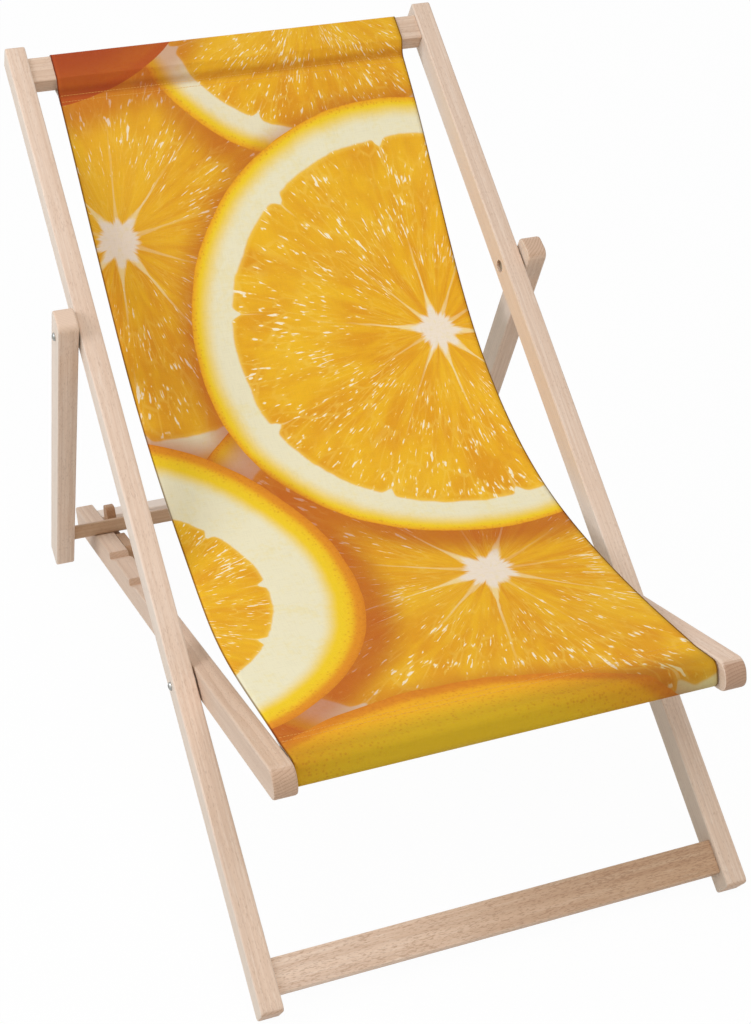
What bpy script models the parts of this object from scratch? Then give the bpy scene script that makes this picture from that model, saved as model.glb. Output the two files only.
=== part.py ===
"""Folding wooden sun lounger: two pivoted frames, a prop frame and a sling of printed canvas.

The main frame leans back from its front feet. The seat frame crosses it on two pivot bolts and
rests on its rear feet. The prop frame hangs from the main legs, and its bar lies in the notches
of the seat rails. X runs across the lounger, the sitter looks along -Y, and Z is up.
"""

import math

import bmesh
import bpy
from mathutils import Matrix, Vector

# Wooden members, across X and through their depth
leg_width = 0.024
leg_depth = 0.033
member_softening = 0.0020
touch_gap = 0.0003

# Main frame, measured along its legs from the main pivot
main_tilt = math.radians(34.2)
main_outer_width = 0.540
main_below_pivot = 0.353
main_above_pivot = 0.806
main_toe_radius = 0.006
main_corner_radius = 0.004
top_bar_below_end = 0.0155
top_bar_height = 0.0343
top_bar_thickness = 0.0225
top_bar_recess = 0.0038
foot_board_above_end = 0.018
foot_board_height = 0.036
foot_board_thickness = 0.018
foot_board_recess = 0.0054
foot_flat_trim = 0.001

# Seat frame, measured along its rails from the main pivot
rail_front_length = 0.2915
rail_rear_length = 0.669
rail_front_radius = 0.014
rail_rear_radius = 0.004
seat_bar_from_front = 0.0145
seat_bar_depth = 0.022
seat_bar_height = 0.0265
seat_bar_corner_radius = 0.008
seat_bar_below_top = 0.0022
rear_bar_from_end = 0.0285
rear_bar_width = 0.0345
rear_bar_thickness = 0.020
rear_bar_below_top = 0.0020

# Notches in the rails, counted forward from the rearmost
notch_count = 3
notch_stop_ahead_of_bar = 0.0543
notch_pitch = 0.116
notch_floor_length = 0.035
notch_wall_height = 0.0082
notch_cutter_rise = 0.012

# Prop frame, hinged outside the main legs
prop_pivot_up = 0.426
prop_above_pivot = 0.0315
prop_beyond_bar = 0.048
prop_top_radius = 0.010
prop_end_radius = 0.004
prop_bar_depth = 0.020
prop_bar_height = 0.017
bar_corner_radius = 0.002

# Safety catch on the inner face of one rail, placed from its own screw
catch_thickness = 0.012
catch_ahead_of_stop = 0.0733
catch_below_top = 0.015
catch_tail_length = 0.040
catch_tail_taper = 0.018
catch_back_height = 0.0135
catch_back_length = 0.037
catch_belly_depth = 0.0135
catch_bar_clearance = 0.0025
catch_hook_gap = 0.0045
catch_hook_lean = 0.006
catch_hook_width = 0.024
catch_hook_rise = 0.022
catch_softening = 0.0008
catch_screw_radius = 0.0022
catch_head_radius = 0.0045
catch_head_height = 0.0025
catch_screw_bite = 0.016
catch_washer_thickness = 0.0008
catch_washer_radius = 0.0060

# Bolts, nuts and washers at the pivots
bolt_radius = 0.003
bolt_head_radius = 0.0048
bolt_head_height = 0.0028
bolt_key_radius = 0.0023
bolt_key_floor = 0.0016
nut_radius = 0.0057
nut_height = 0.005
nut_side_clearance = 0.0018
nut_set_back = 0.0022
washer_radius = 0.009
washer_thickness = 0.0012

# Dowels that hold the crossbars
dowel_radius = 0.004
dowel_in_bar = 0.016
dowel_wall = 0.010
dowel_chamfer = 0.0008
board_dowel_edge = 0.008

# Canvas sling, sewn into a sleeve round the top bar and another round the seat bar
sling_side_gap = 0.0012
sling_thickness = 0.0012
top_seam_below_bar = 0.0128
top_seam_behind_middle = 0.0030
seat_seam_behind_bar = 0.0190
seat_seam_above_bar = 0.0022
sling_leave_angle = math.radians(40.0)
sling_leave_reach = 0.2756
sling_arrive_angle = math.radians(9.0)
sling_arrive_reach = 0.2263
sling_belly_back = 0.3291
sling_belly_down = 0.0010
sling_cross_sag = 0.004
sling_edge_draw = 0.004
sling_run_steps = 40
sling_columns = 6
sleeve_steps = 4
hem_width = 0.012

# Smoothness of turned and rounded shapes
corner_steps = 7
turn_steps = 20
drill_steps = 20

# Places that follow from the sizes
running_gap = washer_thickness + 2 * touch_gap
main_half = main_outer_width / 2
main_inner_x = main_half - leg_width
main_x = main_half - leg_width / 2
rail_outer_x = main_inner_x - running_gap
rail_inner_x = rail_outer_x - leg_width
rail_x = rail_outer_x - leg_width / 2
prop_inner_x = main_half + running_gap
prop_outer_x = prop_inner_x + leg_width
half_depth = leg_depth / 2
bolt_hole_radius = bolt_radius + touch_gap
nut_recess_radius = nut_radius + nut_side_clearance
nut_recess_depth = nut_height + nut_set_back + touch_gap
dowel_in_leg = leg_width - dowel_wall
dowel_length = dowel_in_leg + dowel_in_bar
sling_half = rail_inner_x - sling_side_gap

# Both frames stand on rounded corners that are cut level with the floor
main_heel_along = main_below_pivot - main_corner_radius
main_heel_below = half_depth - main_corner_radius
pivot_height = (main_heel_along * math.sin(main_tilt) + main_heel_below * math.cos(main_tilt)
                + main_corner_radius - foot_flat_trim)
rail_heel_along = rail_rear_length - rail_rear_radius
rail_heel_below = half_depth - rail_rear_radius
rail_heel_drop = pivot_height + foot_flat_trim - rail_rear_radius
rail_tilt = (math.asin(rail_heel_drop / math.hypot(rail_heel_along, rail_heel_below))
             - math.atan2(rail_heel_below, rail_heel_along))

# The notches are set from the rear crossbar, and the prop bar from its notch
rear_bar_front = rail_rear_length - rear_bar_from_end - rear_bar_width
notch_rear_stop = rear_bar_front - notch_stop_ahead_of_bar
notch_slope = math.atan2(notch_wall_height, notch_floor_length)


def along(tilt, length, rise=0.0):
    """Point in the side plane: length along a line raised by tilt, and rise square to it."""
    return Vector((0.0,
                   length * math.cos(tilt) - rise * math.sin(tilt),
                   length * math.sin(tilt) + rise * math.cos(tilt)))


main_pivot = Vector((0.0, 0.0, pivot_height))
prop_pivot = main_pivot + along(main_tilt, prop_pivot_up)
notch_corner_y = notch_rear_stop - notch_wall_height * math.sin(notch_slope)
notch_corner_z = half_depth - notch_wall_height * math.cos(notch_slope)
bar_back = prop_bar_depth / 2 + touch_gap
bar_up = prop_bar_height / 2 + touch_gap
bar_rail_y = notch_corner_y - bar_back * math.cos(notch_slope) + bar_up * math.sin(notch_slope)
bar_rail_z = notch_corner_z + bar_back * math.sin(notch_slope) + bar_up * math.cos(notch_slope)
bar_place = main_pivot + along(-rail_tilt, bar_rail_y, bar_rail_z)
prop_reach = (bar_place - prop_pivot).length
prop_tilt = math.atan2(prop_pivot.z - bar_place.z, bar_place.y - prop_pivot.y)
bar_turn = prop_tilt - rail_tilt - notch_slope

parts = bpy.data.collections.new("sun_lounger")
cutters = bpy.data.collections.new("sun_lounger_cutters")


def clear_scene():
    """Remove everything the file opened with."""
    for item in list(bpy.data.objects):
        bpy.data.objects.remove(item, do_unlink=True)
    bpy.context.scene.collection.children.link(parts)
    bpy.context.scene.collection.children.link(cutters)


def finish(name, colour, roughness, metallic=0.0):
    """Principled material with the part's plain colour."""
    material = bpy.data.materials.new(name)
    material.use_nodes = True
    shader = material.node_tree.nodes["Principled BSDF"]
    shader.inputs["Base Color"].default_value = (*colour, 1.0)
    shader.inputs["Roughness"].default_value = roughness
    shader.inputs["Metallic"].default_value = metallic
    material.diffuse_color = (*colour, 1.0)
    return material


def axis_empty(name, place, tilt, parent=None):
    """Empty on a joint's axis, turned so that its local Y runs along the frame."""
    empty = bpy.data.objects.new(name, None)
    empty.location = place
    empty.rotation_euler = (tilt, 0.0, 0.0)
    empty.empty_display_size = 0.05
    empty.parent = parent
    parts.objects.link(empty)
    return empty


def add_object(name, mesh, parent, material=None, collection=None):
    """Link a mesh object under its frame's empty."""
    item = bpy.data.objects.new(name, mesh)
    item.parent = parent
    (collection or parts).objects.link(item)
    if material:
        mesh.materials.append(material)
    return item


def rounded_outline(corners):
    """Points of a closed outline whose corners, given as (y, z, radius), are rounded by arcs."""
    points = []
    count = len(corners)
    for index, (y, z, radius) in enumerate(corners):
        here = Vector((y, z))
        before = Vector(corners[index - 1][:2]) - here
        after = Vector(corners[(index + 1) % count][:2]) - here
        if radius <= 0.0:
            points.append(here)
            continue
        before.normalize()
        after.normalize()
        half = before.angle(after) / 2
        centre = here + (before + after).normalized() * radius / math.sin(half)
        start = here + before * radius / math.tan(half) - centre
        sweep = (here + after * radius / math.tan(half) - centre).angle_signed(start)
        for step in range(corner_steps + 1):
            turned = start.copy()
            turned.rotate(Matrix.Rotation(sweep * step / corner_steps, 2))
            points.append(centre + turned)
    return points


def outline_mesh(name, points, x_from, x_to):
    """Closed solid: the outline in the side plane, drawn out along X."""
    mesh = bpy.data.meshes.new(name)
    shape = bmesh.new()
    ring = [shape.verts.new((x_from, y, z)) for y, z in points]
    face = shape.faces.new(ring)
    drawn = bmesh.ops.extrude_face_region(shape, geom=[face])
    moved = [v for v in drawn["geom"] if isinstance(v, bmesh.types.BMVert)]
    bmesh.ops.translate(shape, verts=moved, vec=(x_to - x_from, 0.0, 0.0))
    bmesh.ops.recalc_face_normals(shape, faces=shape.faces)
    shape.to_mesh(mesh)
    shape.free()
    return mesh


def member(name, parent, x_from, x_to, corners, material, softening=member_softening):
    """Wooden member cut to a side outline, with its long edges softened."""
    item = add_object(name, outline_mesh(name, rounded_outline(corners), x_from, x_to), parent, material)
    if softening:
        bevel = item.modifiers.new("soft_edges", "BEVEL")
        bevel.width = softening
        bevel.segments = 2
        bevel.limit_method = "ANGLE"
        bevel.angle_limit = math.radians(50)
        bevel.use_clamp_overlap = False
    return item


def block_corners(y_from, y_to, z_from, z_to, radius):
    """Corners of an upright block in the side plane."""
    return [(y_from, z_from, radius), (y_to, z_from, radius), (y_to, z_to, radius), (y_from, z_to, radius)]


def turned_corners(y, z, depth, height, turn, radius):
    """Corners of a block about (y, z) that is turned in the side plane."""
    corners = []
    for across, up in ((-1, -1), (1, -1), (1, 1), (-1, 1)):
        offset = Vector((across * depth / 2, up * height / 2))
        offset.rotate(Matrix.Rotation(turn, 2))
        corners.append((y + offset.x, z + offset.y, radius))
    return corners


def subtract(target, cutter):
    """Cut one shape from a part and keep the cutter out of the build."""
    cutter.hide_render = True
    cutter.display_type = "WIRE"
    cut = target.modifiers.new(cutter.name, "BOOLEAN")
    cut.operation = "DIFFERENCE"
    cut.object = cutter


def drill(target, name, parent, x_from, x_to, y, z, radius, sides=drill_steps):
    """Bore along X through or into a part."""
    mesh = bpy.data.meshes.new(name)
    shape = bmesh.new()
    bmesh.ops.create_cone(shape, cap_ends=True, segments=sides, radius1=radius, radius2=radius,
                          depth=abs(x_to - x_from))
    bmesh.ops.rotate(shape, verts=shape.verts, matrix=Matrix.Rotation(math.pi / 2, 3, "Y"))
    bmesh.ops.translate(shape, verts=shape.verts, vec=((x_from + x_to) / 2, y, z))
    shape.to_mesh(mesh)
    shape.free()
    subtract(target, add_object(name, mesh, parent, collection=cutters))


def turned(name, parent, profile, x, y, z, outward, material, steps=turn_steps, closed=False):
    """Turned piece on an X axis: profile of (radius, height) pairs, top to bottom, spun round."""
    mesh = bpy.data.meshes.new(name)
    edges = [(i, i + 1) for i in range(len(profile) - 1)]
    if closed:
        edges.append((len(profile) - 1, 0))
    mesh.from_pydata([(r, 0.0, h) for r, h in profile], edges, [])
    item = add_object(name, mesh, parent, material)
    item.location = (x, y, z)
    item.rotation_euler = (0.0, outward * math.pi / 2, 0.0)
    spin = item.modifiers.new("turn", "SCREW")
    spin.steps = steps
    spin.render_steps = steps
    spin.use_merge_vertices = True
    spin.merge_threshold = 0.00001
    spin.use_smooth_shade = True
    return item


def bolt(name, parent, side, head_face, shank_end, y, z, material):
    """Domed bolt: the head sits against head_face and the shank reaches shank_end along X."""
    shank = head_face + touch_gap - shank_end
    dome = [(0.0, bolt_head_height)]
    for step in range(1, corner_steps):
        angle = math.pi / 2 * step / corner_steps
        dome.append((bolt_head_radius * math.sin(angle), bolt_head_height * math.cos(angle)))
    dome.append((bolt_head_radius, 0.0))
    profile = dome + [(bolt_radius, 0.0), (bolt_radius, -shank), (0.0, -shank)]
    item = turned(name, parent, profile, side * (head_face + touch_gap), y, z, side, material)
    top = head_face + touch_gap + bolt_head_height
    drill(item, name + "_key", parent, side * (head_face + touch_gap + bolt_key_floor),
          side * (top + bolt_key_floor), y, z, bolt_key_radius, sides=6)
    return item


def washer(name, parent, side, x_from, x_to, y, z, bore, radius, material):
    """Flat ring between two members."""
    half = abs(x_to - x_from) / 2
    profile = [(bore, half), (radius, half), (radius, -half), (bore, -half)]
    return turned(name, parent, profile, side * (x_from + x_to) / 2, y, z, side, material, closed=True)


def nut(name, parent, side, x_from, x_to, y, z, material):
    """Hexagon nut with its bore."""
    half = abs(x_to - x_from) / 2
    profile = [(0.0, half), (nut_radius, half), (nut_radius, -half), (0.0, -half)]
    item = turned(name, parent, profile, side * (x_from + x_to) / 2, y, z, side, material, steps=6)
    item.modifiers["turn"].use_smooth_shade = False
    low = min(x_from, x_to) - touch_gap
    high = max(x_from, x_to) + touch_gap
    drill(item, name + "_bore", parent, side * low, side * high, y, z, bolt_hole_radius)
    return item


def dowel_joint(tag, side, leg, bar, parent, leg_inner, y, z, material):
    """Loose dowel between a leg's inner face and a crossbar's end, with its two blind holes."""
    start = leg_inner - (dowel_length - dowel_in_leg)
    end = leg_inner + dowel_in_leg
    middle = (start + end) / 2
    half = dowel_length / 2
    profile = [(0.0, half), (dowel_radius - dowel_chamfer, half), (dowel_radius, half - dowel_chamfer),
               (dowel_radius, dowel_chamfer - half), (dowel_radius - dowel_chamfer, -half), (0.0, -half)]
    turned("dowel_" + tag, parent, profile, side * middle, y, z, side, material, steps=16)
    hole = dowel_radius + touch_gap
    for piece, name, low, high in ((leg, "_leg_hole", start, end + touch_gap),
                                   (bar, "_bar_hole", start - touch_gap, end)):
        drill(piece, "dowel_" + tag + name, parent, side * low, side * high, y, z, hole, sides=16)


def foot_cut(target, x, parent_frame, name):
    """Cut a foot level with the floor, so that it stands on a narrow flat."""
    mesh = bpy.data.meshes.new(name)
    shape = bmesh.new()
    spread = 2 * (main_below_pivot + rail_rear_length)
    bmesh.ops.create_cube(shape, size=1.0)
    bmesh.ops.scale(shape, verts=shape.verts, vec=(leg_width * 2, spread, leg_depth))
    bmesh.ops.translate(shape, verts=shape.verts, vec=(x, 0.0, -leg_depth / 2))
    shape.to_mesh(mesh)
    shape.free()
    subtract(target, add_object(name, mesh, parent_frame, collection=cutters))


def build_main_frame(root, wood, steel):
    """Two long legs, the top bar and the foot board."""
    frame = axis_empty("main_frame", main_pivot, main_tilt, root)
    low = -main_below_pivot
    high = main_above_pivot
    inner = main_inner_x
    bar_y = (high - top_bar_below_end - top_bar_height, high - top_bar_below_end)
    bar_z = (half_depth - top_bar_recess - top_bar_thickness, half_depth - top_bar_recess)
    board_y = (low + foot_board_above_end, low + foot_board_above_end + foot_board_height)
    board_z = (half_depth - foot_board_recess - foot_board_thickness, half_depth - foot_board_recess)
    reach = inner - touch_gap
    top_bar = member("top_bar", frame, -reach, reach, block_corners(*bar_y, *bar_z, bar_corner_radius),
                     wood, softening=0.0)
    board = member("foot_board", frame, -reach, reach, block_corners(*board_y, *board_z, bar_corner_radius),
                   wood, softening=0.0)
    for side, tag in ((-1, "left"), (1, "right")):
        corners = [(low, -half_depth, main_corner_radius), (high, -half_depth, main_corner_radius),
                   (high, half_depth, main_corner_radius), (low, half_depth, main_toe_radius)]
        leg = member("main_leg_" + tag, frame, side * inner, side * main_half, corners, wood)
        foot_cut(leg, side * main_x, root, "main_foot_cut_" + tag)
        drill(leg, "main_pivot_hole_" + tag, frame, side * (inner - leg_width), side * (main_half + leg_width),
              0.0, 0.0, bolt_hole_radius)
        drill(leg, "prop_pivot_hole_" + tag, frame, side * (inner - leg_width),
              side * (main_half + leg_width), prop_pivot_up, 0.0, bolt_hole_radius)
        drill(leg, "prop_nut_recess_" + tag, frame, side * (inner - leg_width),
              side * (inner + nut_recess_depth), prop_pivot_up, 0.0, nut_recess_radius)
        dowel_joint("top_bar_" + tag, side, leg, top_bar, frame, inner,
                    sum(bar_y) / 2, sum(bar_z) / 2, wood)
        for row, place in (("lower", board_y[0] + board_dowel_edge), ("upper", board_y[1] - board_dowel_edge)):
            dowel_joint("foot_board_" + row + "_" + tag, side, leg, board, frame, inner,
                        place, sum(board_z) / 2, wood)
    return frame, bar_y, bar_z


def cut_notches(rail, side, frame, tag):
    """Saw-tooth notches: a floor that falls rearward to a wall that stops the prop bar."""
    wall = Vector((math.sin(notch_slope), math.cos(notch_slope)))
    floor = Vector((-math.cos(notch_slope), math.sin(notch_slope)))
    for index in range(notch_count):
        corner = Vector((notch_corner_y - index * notch_pitch, notch_corner_z))
        raised = corner + wall * (notch_wall_height + notch_cutter_rise)
        spread = corner + floor * notch_floor_length * (notch_wall_height + notch_cutter_rise) / notch_wall_height
        name = "notch_" + str(index + 1) + "_" + tag
        mesh = outline_mesh(name, [tuple(corner), tuple(raised), tuple(spread)],
                            side * (rail_inner_x - leg_width), side * (rail_x + leg_width))
        subtract(rail, add_object(name, mesh, frame, collection=cutters))


def build_seat_frame(root, wood, steel):
    """Two notched rails, the seat bar inside the sling's hem and the rear crossbar."""
    frame = axis_empty("seat_frame", main_pivot, -rail_tilt, root)
    front = -rail_front_length
    rear = rail_rear_length
    reach = rail_inner_x - touch_gap
    seat_y = (front + seat_bar_from_front, front + seat_bar_from_front + seat_bar_depth)
    seat_z = (half_depth - seat_bar_below_top - seat_bar_height, half_depth - seat_bar_below_top)
    rear_y = (rear_bar_front, rear - rear_bar_from_end)
    rear_z = (half_depth - rear_bar_below_top - rear_bar_thickness, half_depth - rear_bar_below_top)
    seat_bar = member("seat_bar", frame, -reach, reach, block_corners(*seat_y, *seat_z, seat_bar_corner_radius),
                      wood, softening=0.0)
    rear_bar = member("rear_crossbar", frame, -reach, reach,
                      block_corners(*rear_y, *rear_z, bar_corner_radius), wood, softening=0.0)
    for side, tag in ((-1, "left"), (1, "right")):
        corners = [(front, -half_depth, rail_front_radius), (rear, -half_depth, rail_rear_radius),
                   (rear, half_depth, rail_rear_radius), (front, half_depth, rail_front_radius)]
        outer = rail_outer_x
        rail = member("seat_rail_" + tag, frame, side * rail_inner_x, side * outer, corners, wood)
        foot_cut(rail, side * rail_x, root, "rail_foot_cut_" + tag)
        cut_notches(rail, side, frame, tag)
        drill(rail, "rail_pivot_hole_" + tag, frame, side * (rail_inner_x - leg_width),
              side * (outer + leg_width), 0.0, 0.0, bolt_hole_radius)
        drill(rail, "main_nut_recess_" + tag, frame, side * (rail_inner_x - leg_width),
              side * (rail_inner_x + nut_recess_depth), 0.0, 0.0, nut_recess_radius)
        dowel_joint("seat_bar_" + tag, side, rail, seat_bar, frame, rail_inner_x,
                    sum(seat_y) / 2, sum(seat_z) / 2, wood)
        dowel_joint("rear_crossbar_" + tag, side, rail, rear_bar, frame, rail_inner_x,
                    sum(rear_y) / 2, sum(rear_z) / 2, wood)
        if side < 0:
            build_catch(frame, rail, wood, steel)
    return frame, seat_y, seat_z


def build_catch(frame, rail, wood, steel):
    """Wooden catch that passes under the prop bar and hooks up behind it."""
    pivot_y = notch_rear_stop - catch_ahead_of_stop
    pivot_z = half_depth - catch_below_top
    holder = axis_empty("safety_catch_axis", (0.0, pivot_y, pivot_z), 0.0, frame)
    near = -rail_inner_x + touch_gap
    far = near + catch_thickness
    under_bar = notch_corner_z - pivot_z - catch_bar_clearance
    hook_front = catch_ahead_of_stop + catch_hook_gap
    hook_rear = hook_front + catch_hook_width
    hook_top = half_depth - pivot_z + catch_hook_rise
    hook_shoulder = (hook_top - catch_belly_depth) / 2
    corners = [(catch_tail_taper - catch_tail_length, -catch_belly_depth, 0.006), (hook_front, -catch_belly_depth, 0.008),
               (hook_rear, -catch_belly_depth / 2, 0.008),
               (hook_rear + catch_hook_lean, hook_shoulder + catch_hook_lean, 0.008),
               (hook_rear, hook_top, 0.006), (hook_front + catch_hook_lean, hook_top, 0.006),
               (hook_front, under_bar, 0.002), (catch_back_length + catch_hook_lean, under_bar, 0.003),
               (catch_back_length, catch_back_height, 0.003),
               (catch_tail_taper - catch_tail_length, catch_back_height, 0.006),
               (-catch_tail_length, 0.0, 0.004)]
    catch = member("safety_catch", holder, near, far, corners, wood, softening=catch_softening)
    drill(catch, "catch_screw_hole", holder, near - leg_width, far + leg_width, 0.0, 0.0,
          catch_screw_radius + touch_gap)
    seat = far + touch_gap
    washer("catch_washer", frame, -1, -seat, -(seat + catch_washer_thickness), pivot_y, pivot_z,
           catch_screw_radius + touch_gap, catch_washer_radius, steel)
    head = seat + catch_washer_thickness + touch_gap
    length = head - near + touch_gap + catch_screw_bite
    dome = [(0.0, catch_head_height)]
    for step in range(1, corner_steps):
        angle = math.pi / 2 * step / corner_steps
        dome.append((catch_head_radius * math.sin(angle), catch_head_height * math.cos(angle)))
    profile = dome + [(catch_head_radius, 0.0), (catch_screw_radius, 0.0),
                      (catch_screw_radius, catch_screw_radius - length), (0.0, -length)]
    turned("catch_screw", frame, profile, head, pivot_y, pivot_z, 1, steel)
    tip = near - touch_gap - catch_screw_bite - touch_gap
    drill(rail, "catch_pilot_hole", frame, tip, near + touch_gap, pivot_y, pivot_z,
          catch_screw_radius + touch_gap)


def build_prop_frame(root, wood):
    """Two short legs outside the main legs, joined by the bar that lies in the notches."""
    frame = axis_empty("prop_frame", prop_pivot, -prop_tilt, root)
    top = -prop_above_pivot
    end = prop_reach + prop_beyond_bar
    reach = prop_inner_x - touch_gap
    bar = member("prop_bar", frame, -reach, reach,
                 turned_corners(prop_reach, 0.0, prop_bar_depth, prop_bar_height, bar_turn, bar_corner_radius),
                 wood, softening=0.0)
    for side, tag in ((-1, "left"), (1, "right")):
        corners = [(top, -half_depth, prop_top_radius), (end, -half_depth, prop_end_radius),
                   (end, half_depth, prop_end_radius), (top, half_depth, prop_top_radius)]
        outer = prop_outer_x
        leg = member("prop_leg_" + tag, frame, side * prop_inner_x, side * outer, corners, wood)
        drill(leg, "prop_leg_pivot_hole_" + tag, frame, side * (prop_inner_x - leg_width),
              side * (outer + leg_width), 0.0, 0.0, bolt_hole_radius)
        dowel_joint("prop_bar_" + tag, side, leg, bar, frame, prop_inner_x, prop_reach, 0.0, wood)
    return frame


def build_pivot_fasteners(main_frame, steel):
    """Bolts, nuts and washers of the two pivot pairs, carried by the main legs."""
    for side, tag in ((-1, "left"), (1, "right")):
        pairs = (("main", 0.0, main_half, rail_inner_x, rail_outer_x, main_inner_x),
                 ("prop", prop_pivot_up, prop_outer_x, main_inner_x, main_half, prop_inner_x))
        for kind, y, head_face, nut_face, gap_from, gap_to in pairs:
            nut_end = nut_face + nut_recess_depth - touch_gap
            nut(kind + "_nut_" + tag, main_frame, side, nut_end - nut_height, nut_end, y, 0.0, steel)
            bolt(kind + "_bolt_" + tag, main_frame, side, head_face, nut_end - nut_height, y, 0.0, steel)
            washer(kind + "_washer_" + tag, main_frame, side, gap_from + touch_gap, gap_to - touch_gap,
                   y, 0.0, bolt_hole_radius, washer_radius, steel)


def arc(centre, radius, start, end):
    """Points of an arc in the side plane, from one angle to another."""
    points = []
    for step in range(sleeve_steps + 1):
        angle = start + (end - start) * step / sleeve_steps
        points.append(centre + Vector((0.0, math.cos(angle), math.sin(angle))) * radius)
    return points


def touching_angle(centre, radius, outside, side):
    """Angle at which a line from an outside point touches a circle, on one side of it."""
    towards = outside - centre
    return math.atan2(towards.z, towards.y) + side * math.acos(radius / towards.length)


def sling_run(start, end):
    """Quartic curve from the top seam down through the belly and up to the seat seam."""
    belly = main_pivot + Vector((0.0, sling_belly_back, -sling_belly_down))
    leave = start - along(sling_leave_angle, sling_leave_reach)
    arrive = end + along(-sling_arrive_angle, sling_arrive_reach)
    controls = (start, leave, belly, arrive, end)
    points = []
    for step in range(sling_run_steps + 1):
        t = step / sling_run_steps
        point = Vector((0.0, 0.0, 0.0))
        for power, control in enumerate(controls):
            point += control * math.comb(4, power) * t ** power * (1 - t) ** (4 - power)
        points.append(point)
    return points


def hem_points(run, side):
    """Hem that lies under the run, from the seam to its free end."""
    heading = (run[1] - run[0]).normalized()
    under = Vector((0.0, -heading.z, heading.y)) * side * (sling_thickness + touch_gap)
    return [run[0] + under, run[0] + under + heading * hem_width]


def build_sling(root, bar_y, bar_z, seat_y, seat_z, canvas):
    """Canvas with a sewn sleeve round each bar, hung slack between the two seams."""
    lift = touch_gap + sling_thickness / 2
    inset = bar_corner_radius
    bend = inset + lift
    seat_inset = seat_bar_corner_radius
    seat_bend = seat_inset + lift
    quarter = math.pi / 2

    def top(y, z):
        return main_pivot + along(main_tilt, y, z)

    def seat(y, z):
        return main_pivot + along(-rail_tilt, y, z)

    top_seam = top(bar_y[0] - top_seam_below_bar, sum(bar_z) / 2 - top_seam_behind_middle)
    seat_seam = seat(seat_y[1] + seat_seam_behind_bar, seat_z[1] + seat_seam_above_bar)
    run = sling_run(top_seam, seat_seam)
    top_hem = hem_points(run, 1)
    seat_hem = hem_points(run[::-1], -1)

    face = main_tilt + quarter
    back_corner = top(bar_y[0] + inset, bar_z[0] + inset)
    front_corner = top(bar_y[0] + inset, bar_z[1] - inset)
    back_from = touching_angle(back_corner, bend, top_hem[0], 1) % (4 * quarter)
    front_to = touching_angle(front_corner, bend, top_seam, -1) % (4 * quarter)
    low_back = arc(back_corner, bend, back_from, face + 2 * quarter)
    high_back = arc(top(bar_y[1] - inset, bar_z[0] + inset), bend, face + 2 * quarter, face + 3 * quarter)
    high_front = arc(top(bar_y[1] - inset, bar_z[1] - inset), bend, face + 3 * quarter, face + 4 * quarter)
    low_front = arc(front_corner, bend, face, front_to)

    rail_face = quarter - rail_tilt
    nose_corner = seat(seat_y[0] + seat_inset, seat_z[1] - seat_inset)
    heel_corner = seat(seat_y[1] - seat_inset, seat_z[0] + seat_inset)
    nose_from = touching_angle(nose_corner, seat_bend, seat_seam, 1) % (4 * quarter)
    heel_to = touching_angle(heel_corner, seat_bend, seat_hem[0], -1) % (4 * quarter)
    nose = arc(nose_corner, seat_bend, nose_from - 4 * quarter * (nose_from > math.pi), rail_face + quarter)
    chin = arc(seat(seat_y[0] + seat_inset, seat_z[0] + seat_inset), seat_bend,
               rail_face + quarter, rail_face + 2 * quarter)
    heel = arc(heel_corner, seat_bend, rail_face + 2 * quarter, heel_to)
    path = top_hem[::-1] + low_back + high_back + high_front + low_front
    lead = len(path)
    path = path + run + nose + chin + heel + seat_hem

    mesh = bpy.data.meshes.new("sling")
    shape = bmesh.new()
    rows = []
    for index, point in enumerate(path):
        share = min(max((index - lead) / sling_run_steps, 0.0), 1.0)
        slack = math.sin(math.pi * share) ** 2
        half = sling_half - sling_edge_draw * slack
        row = []
        for column in range(sling_columns + 1):
            across = 2 * column / sling_columns - 1
            sag = sling_cross_sag * slack * (1 - across * across)
            row.append(shape.verts.new((half * across, point.y, point.z - sag)))
        rows.append(row)
    for low_row, high_row in zip(rows, rows[1:]):
        for column in range(sling_columns):
            shape.faces.new((low_row[column], low_row[column + 1], high_row[column + 1], high_row[column]))
    shape.to_mesh(mesh)
    shape.free()
    sling = add_object("sling", mesh, root, canvas)
    wall = sling.modifiers.new("cloth_thickness", "SOLIDIFY")
    wall.thickness = sling_thickness
    wall.offset = 0.0
    wall.use_even_offset = True
    return sling


def centre_over_floor(root):
    """Move the whole lounger so that its box is centred on the origin along Y."""
    bpy.context.view_layer.update()
    graph = bpy.context.evaluated_depsgraph_get()
    low = math.inf
    high = -math.inf
    for item in parts.objects:
        if item.type != "MESH":
            continue
        shown = item.evaluated_get(graph)
        for vertex in shown.data.vertices:
            place = shown.matrix_world @ vertex.co
            low = min(low, place.y)
            high = max(high, place.y)
    root.location.y = -(low + high) / 2


def main():
    """Build the lounger."""
    clear_scene()
    wood = finish("beech", (0.72, 0.53, 0.38), 0.55)
    steel = finish("zinc_plated_steel", (0.62, 0.62, 0.60), 0.35, 1.0)
    canvas = finish("printed_canvas", (0.85, 0.47, 0.05), 0.8)
    root = axis_empty("lounger", (0.0, 0.0, 0.0), 0.0)
    main_frame, bar_y, bar_z = build_main_frame(root, wood, steel)
    seat_frame, seat_y, seat_z = build_seat_frame(root, wood, steel)
    build_prop_frame(root, wood)
    build_pivot_fasteners(main_frame, steel)
    build_sling(root, bar_y, bar_z, seat_y, seat_z, canvas)
    centre_over_floor(root)


main()
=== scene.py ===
"""Folding sun lounger: beech frames, plated fasteners and a slack sling of printed canvas."""

from __future__ import annotations

import logging
import math
from dataclasses import dataclass
from enum import Enum
from functools import cached_property, partialmethod
from typing import Any, Iterable

import bpy
import numpy as np
from mathutils import Euler, Matrix, Vector

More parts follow.
